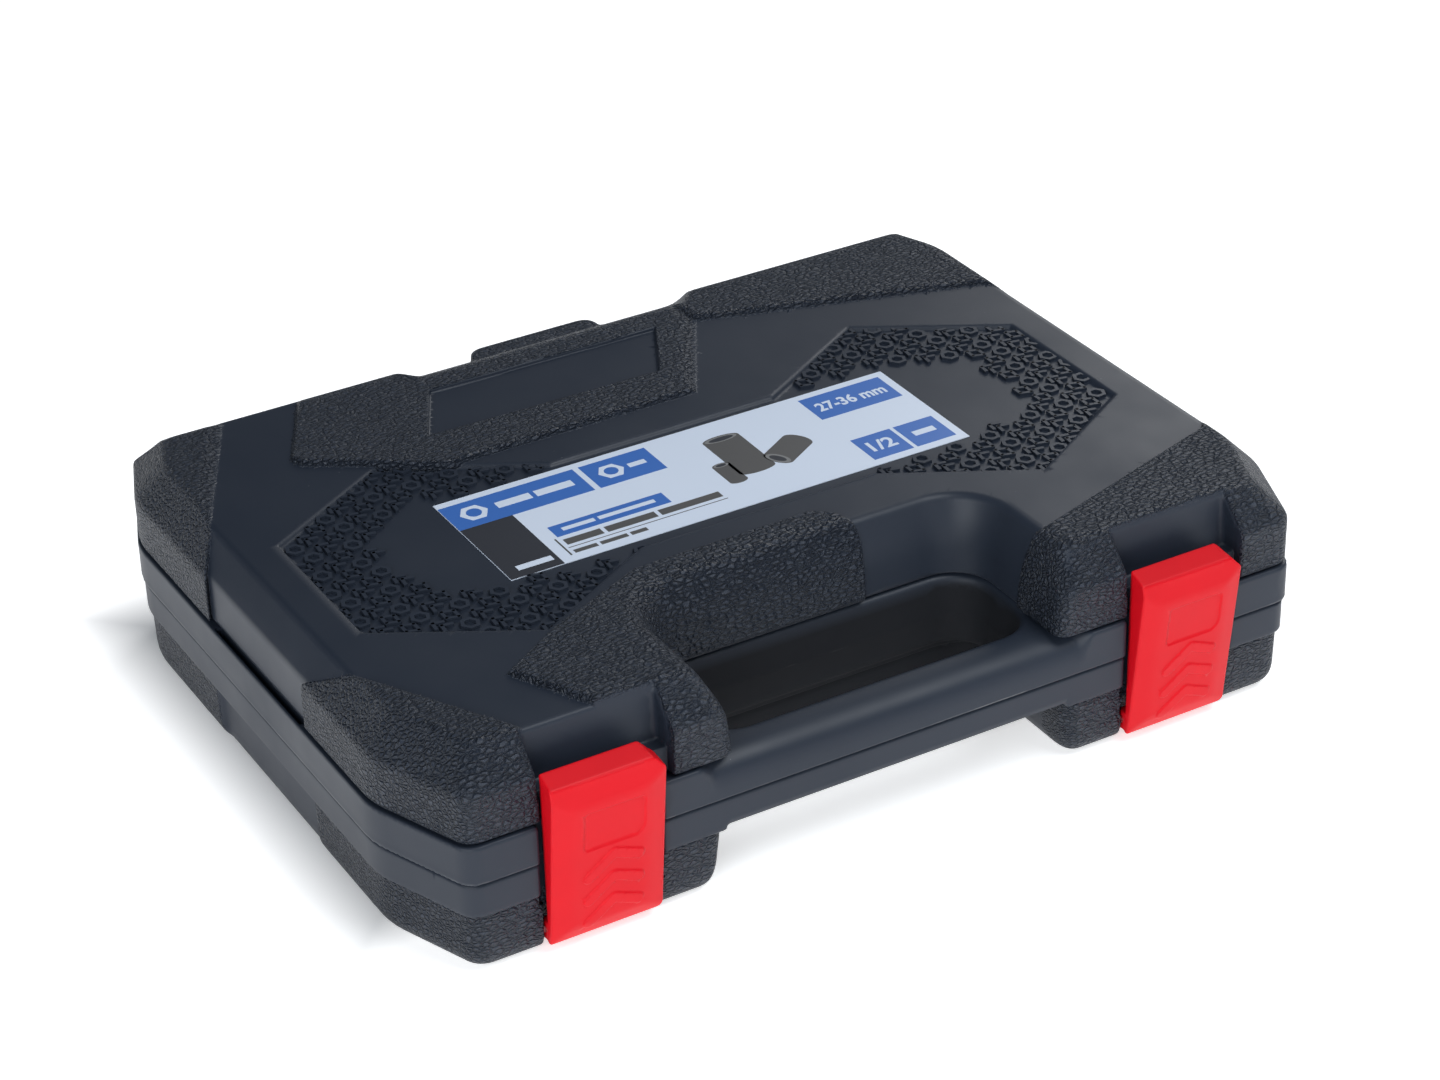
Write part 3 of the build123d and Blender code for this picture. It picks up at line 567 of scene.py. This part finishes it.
def relief(cx):
    bm = bmesh.new()
    ang = math.radians(37)
    ux, uy = math.cos(ang), math.sin(ang)
    z0, z1 = 21.0, 22.15
    n_marks = 0

    def band(P, pts, t):
        """A raised stroke of width t along a polyline."""
        for (ax, ay), (bx, by) in zip(pts, pts[1:]):
            l = math.hypot(bx - ax, by - ay)
            nx, ny = -(by - ay) / l * t / 2, (bx - ax) / l * t / 2
            ex, ey = (bx - ax) / l * t / 2 * 0.6, (by - ay) / l * t / 2 * 0.6
            prism(bm, [P(ax + nx - ex, ay + ny - ey), P(ax - nx - ex, ay - ny - ey), P(bx - nx + ex, by - ny + ey), P(bx + nx + ex, by + ny + ey)], z0, z1)

    for row in range(-10, 11):
        for i in range(-16, 17):
            px = cx + (i * 5.7 + (row % 3) * 1.9) * ux - row * 6.7 * uy
            py = 98.3 + (i * 5.7 + (row % 3) * 1.9) * uy + row * 6.7 * ux
            if not clear(px, py, 2.6):
                continue

            def P(a, b):
                return (px + a * ux - b * uy, py + a * uy + b * ux)
            kind = (i + 2 * row) % 3
            if kind == 0:                 # a nut seen from above
                for j in range(6):
                    t0, t1 = math.pi * j / 3 + 0.52, math.pi * (j + 1) / 3 + 0.52
                    prism(bm, [P(2.75 * math.cos(t0), 2.95 * math.sin(t0)), P(2.75 * math.cos(t1), 2.95 * math.sin(t1)),
                               P(1.6 * math.cos(t1), 1.75 * math.sin(t1)), P(1.6 * math.cos(t0), 1.75 * math.sin(t0))], z0, z1)
            elif kind == 1:               # two chevrons
                for o in (-1.5, 1.1):
                    band(P, [(-2.0, o - 1.0), (0.0, o + 1.2), (2.0, o - 1.0)], 1.05)
            else:                         # a lozenge ring
                band(P, [(0, -2.7), (2.1, 0), (0, 2.7), (-2.1, 0), (0, -2.7)], 1.0)
            n_marks += 1
    print("MARKS", n_marks, flush=True)
    return bm


mesh_object("relief_left", relief(-77), M_RELIEF, "lid")
mesh_object("relief_right", relief(77), M_RELIEF, "lid")

# ------------------------------------------------------------------ label
LX, LY = 1.0, 1.8              # the print lies on the recess floor


def quad(x0, x1, y0, y1):
    return [(x0 + LX, y0 + LY), (x1 + LX, y0 + LY), (x1 + LX, y1 + LY), (x0 + LX, y1 + LY)]


bm = bmesh.new()
prism(bm, quad(-74.2, 69.9, 73.7, 120.0), 21.3, 21.5)
lab = mesh_object("label_sheet", bm, M_WHITE, "lid"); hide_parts("label")


def blocks(name, mat, quads, z=21.5, t=0.04):
    bm = bmesh.new()
    for q in quads:
        prism(bm, q, z, z + t)
    return mesh_object(name, bm, mat, "lid")


def disc(cx, cy, rx, ry, rot=0.0, n=28, part=(0, 2 * math.pi)):
    out = []
    for i in range(n):
        t = part[0] + (part[1] - part[0]) * i / n
        a, b = rx * math.cos(t), ry * math.sin(t)
        out.append((cx + LX + a * math.cos(rot) - b * math.sin(rot), cy + LY + a * math.sin(rot) + b * math.cos(rot)))
    return out


def rod(cx, cy, w, l, rot, b):
    """Outline of a standing cylinder seen from a little above: straight sides with rounded ends."""
    out = []
    for i in range(13):
        t = math.pi * i / 12
        out.append((w * math.cos(t), l / 2 + b * math.sin(t)))
    for i in range(13):
        t = math.pi + math.pi * i / 12
        out.append((w * math.cos(t), -l / 2 + b * math.sin(t)))
    return [(cx + LX + a * math.cos(rot) - c * math.sin(rot), cy + LY + a * math.sin(rot) + c * math.cos(rot)) for a, c in out]


blocks("label_black_block", M_BLACK, [quad(-74.1, -58.2, 73.8, 103.9)])
blocks("label_blue_fields", M_BLUE, [quad(-74.1, -32.7, 103.9, 117.4), quad(-30.9, -10.0, 103.9, 117.4), quad(-53.5, -18.4, 86.8, 92.8),
                                     quad(40.4, 67.3, 104.1, 117.4), quad(40.4, 53.3, 76.5, 89.5), quad(54.5, 67.3, 76.5, 89.5)])
bars = [quad(-54.9, -54.4, 76.6, 86.2), quad(-53.6, -4.5, 80.2, 80.5)]
for a, b in ((-53.0, -41.8), (-40.6, -25.2), (-24.0, -5.0)):
    bars.append(quad(a, b, 81.9, 84.9))
for a, b in ((-53.2, -46.2), (-45.2, -37.0), (-36.0, -31.0)):
    bars.append(quad(a, b, 77.0, 78.7))
blocks("label_text_bars", M_GREY, bars)
white = [quad(-59.5, -49.0, 109.2, 112.4), quad(-47.6, -36.0, 109.2, 112.4), quad(-18.6, -13.2, 109.6, 111.8), quad(-70.2, -59.6, 77.0, 79.4),
         quad(-50.5, -40.6, 89.0, 90.7), quad(-39.4, -22.0, 89.0, 90.7)]
blocks("label_white_marks", M_WHITE, white + [disc(-66.4, 110.7, 4.2, 4.2, n=6), disc(-24.0, 110.7, 4.0, 4.0, n=6)], z=21.54)
blocks("label_ring_centre", M_BLUE, [disc(-66.4, 110.7, 2.2, 2.2), disc(-24.0, 110.7, 2.1, 2.1, n=12)], z=21.58)
blocks("label_socket_shapes", M_GREY, [rod(10.6, 100.1, 5.75, 20.0, 0.0, 1.9), rod(3.0, 92.0, 2.8, 9.6, 0.0, 1.4), rod(23.5, 95.0, 4.6, 11.5, -1.02, 2.4)])
blocks("label_socket_rims", M_GREY2, [disc(10.6, 110.1, 5.1, 1.5), disc(3.0, 96.9, 2.3, 1.0), disc(18.4, 91.8, 1.9, 3.9, rot=0.55)], z=21.54)
blocks("label_socket_bores", M_BLACK, [disc(10.6, 110.0, 3.9, 1.0), disc(3.0, 96.9, 1.6, 0.65), disc(18.3, 91.8, 1.2, 2.7, rot=0.55)], z=21.58)


def sizes(name, text, x, y, height, width):
    """Generic size figures, as flat raised print."""
    cu = bpy.data.curves.new(name, 'FONT')
    cu.body = text; cu.align_x = 'CENTER'; cu.align_y = 'CENTER'; cu.size = height / 1000; cu.extrude = 0.00002; cu.offset = 0.00014; cu.resolution_u = 4
    tmp = bpy.data.objects.new(name + "_tmp", cu)
    bpy.context.scene.collection.objects.link(tmp)
    bpy.context.view_layer.update()
    me = bpy.data.meshes.new_from_object(tmp.evaluated_get(bpy.context.evaluated_depsgraph_get()))
    bpy.data.objects.remove(tmp); bpy.data.curves.remove(cu)
    co = np.zeros(len(me.vertices) * 3); me.vertices.foreach_get("co", co); co = co.reshape(-1, 3)
    lo, hi = co.min(0), co.max(0)
    co[:, :2] -= (lo[:2] + hi[:2]) / 2
    co[:, 0] *= (width / 1000) / (hi[0] - lo[0])
    co[:, 1] *= (height / 1000) / (hi[1] - lo[1])
    co += np.array(((x + LX) / 1000, (y + LY + YO) / 1000, (21.56 + ZO) / 1000))
    me.vertices.foreach_set("co", co.ravel()); me.update()
    me.name = name
    ob = bpy.data.objects.new(name, me)
    bpy.context.scene.collection.objects.link(ob)
    return dress(ob, M_WHITE, "lid")


sizes("label_size_range", "27-36 mm", 53.9, 110.7, 5.0, 22.5)
sizes("label_drive_size", "1/2", 46.9, 83.2, 5.6, 8.2)
blocks("label_white_marks_right", M_WHITE, [quad(57.4, 64.4, 81.9, 84.5)], z=21.54)

# ------------------------------------------------------------------ carried-over nodes
for name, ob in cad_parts.items():
    if name.startswith("socket_"):
        ob.data.materials.clear(); ob.data.materials.append(M_SOCKET)
        bv = ob.modifiers.new("edge", 'BEVEL'); bv.width = 0.0004; bv.segments = 2; bv.limit_method = 'ANGLE'; bv.angle_limit = math.radians(40); bv.use_clamp_overlap = True
    elif name.endswith("pin_left") or name.endswith("pin_right"):
        ob.data.materials.clear(); ob.data.materials.append(M_STEEL)

# ------------------------------------------------------------------ floor, light and camera
bm = bmesh.new()
S = 4.0
bm.faces.new([bm.verts.new((x, y, 0)) for x, y in ((-S, -S), (S, -S), (S, S), (-S, S))])
me = bpy.data.meshes.new("floor"); bm.to_mesh(me); bm.free()
floor = bpy.data.objects.new("floor", me); bpy.context.scene.collection.objects.link(floor)
fm, nt, fb = nodes_of("floor_white")
fb.inputs["Base Color"].default_value = (0.92, 0.92, 0.92, 1); fb.inputs["Roughness"].default_value = 0.9
fb.inputs["Specular IOR Level"].default_value = 0.1
fb.inputs["Emission Color"].default_value = (1, 1, 1, 1)
fc = nt.nodes.new("ShaderNodeTexCoord").outputs["Object"]
fx = nt.nodes.new("ShaderNodeSeparateXYZ"); nt.links.new(fc, fx.inputs[0])
# painted light: the floor glows, brighter towards -x to light the case's left side, and the glow fades out under the
# case's footprint, which leaves painted shade beneath it
ox = math_node(nt, 'SUBTRACT', math_node(nt, 'ABSOLUTE', fx.outputs[0]), 0.128)
oy = math_node(nt, 'SUBTRACT', math_node(nt, 'ABSOLUTE', math_node(nt, 'SUBTRACT', fx.outputs[1], 0.020)), 0.078)
painted_floor_glow = math_node(nt, 'ADD', 0.60, math_node(nt, 'MULTIPLY', ramp(nt, math_node(nt, 'MULTIPLY', fx.outputs[0], -1.0), 0.10, 0.20), 0.24))
nt.links.new(math_node(nt, 'MULTIPLY', ramp(nt, math_node(nt, 'MAXIMUM', ox, oy), 0.0, 0.02), painted_floor_glow), fb.inputs["Emission Strength"])
floor.data.materials.append(fm)

w = bpy.data.worlds.new("studio"); bpy.context.scene.world = w
w.use_nodes = True
wt = w.node_tree
bg = wt.nodes["Background"]
wc = wt.nodes.new("ShaderNodeTexCoord"); wx = wt.nodes.new("ShaderNodeSeparateXYZ")
wt.links.new(wc.outputs["Generated"], wx.inputs[0])
wr = wt.nodes.new("ShaderNodeValToRGB")
wr.color_ramp.elements[0].position = 0.0; wr.color_ramp.elements[0].color = (0.34, 0.37, 0.42, 1)
wr.color_ramp.elements[1].position = 0.35; wr.color_ramp.elements[1].color = (0.06, 0.07, 0.085, 1)
wt.links.new(wx.outputs[2], wr.inputs[0]); wt.links.new(wr.outputs[0], bg.inputs[0])
bg.inputs[1].default_value = 1.0


def lamp(name, loc, target, size, power, color=(1, 1, 1)):
    li = bpy.data.lights.new(name, 'AREA')
    li.shape = 'RECTANGLE'; li.size = size[0]; li.size_y = size[1]; li.energy = power; li.color = color
    ob = bpy.data.objects.new(name, li)
    bpy.context.scene.collection.objects.link(ob)
    ob.location = loc
    ob.rotation_euler = (Vector(target) - Vector(loc)).to_track_quat('-Z', 'Y').to_euler()
    return ob


lamp("top", (0.42, -0.58, 1.28), (0, 0, 0.03), (0.8, 0.8), 12.2, (0.93, 0.97, 1.0))
lamp("key", (0.95, 0.65, 0.62), (0, 0, 0.03), (0.6, 0.5), 4.4)
lamp("fill", (-0.95, -0.75, 0.60), (0, 0, 0.03), (0.9, 0.6), 8.5, (0.93, 0.97, 1.0))
lamp("front", (0.3, -1.4, 0.30), (0, 0, 0.02), (1.0, 0.45), 1.5)
bpy.context.scene.view_settings.view_transform = 'Standard'

cam = bpy.data.cameras.new("camera")
cam.lens = 87.7; cam.sensor_width = 36.0; cam.clip_start = 0.05; cam.clip_end = 50
co = bpy.data.objects.new("camera", cam)
bpy.context.scene.collection.objects.link(co)
R = [[0.86259, -0.50529, -0.024916], [-0.27471, -0.42647, -0.86177], [0.42482, 0.75020, -0.50668]]
pos = (-0.4132, -0.6363 - 0.102, 0.5344)
co.matrix_world = Matrix(((R[0][0], -R[1][0], -R[2][0], pos[0]), (R[0][1], -R[1][1], -R[2][1], pos[1]), (R[0][2], -R[1][2], -R[2][2], pos[2]), (0, 0, 0, 1)))
bpy.context.scene.camera = co
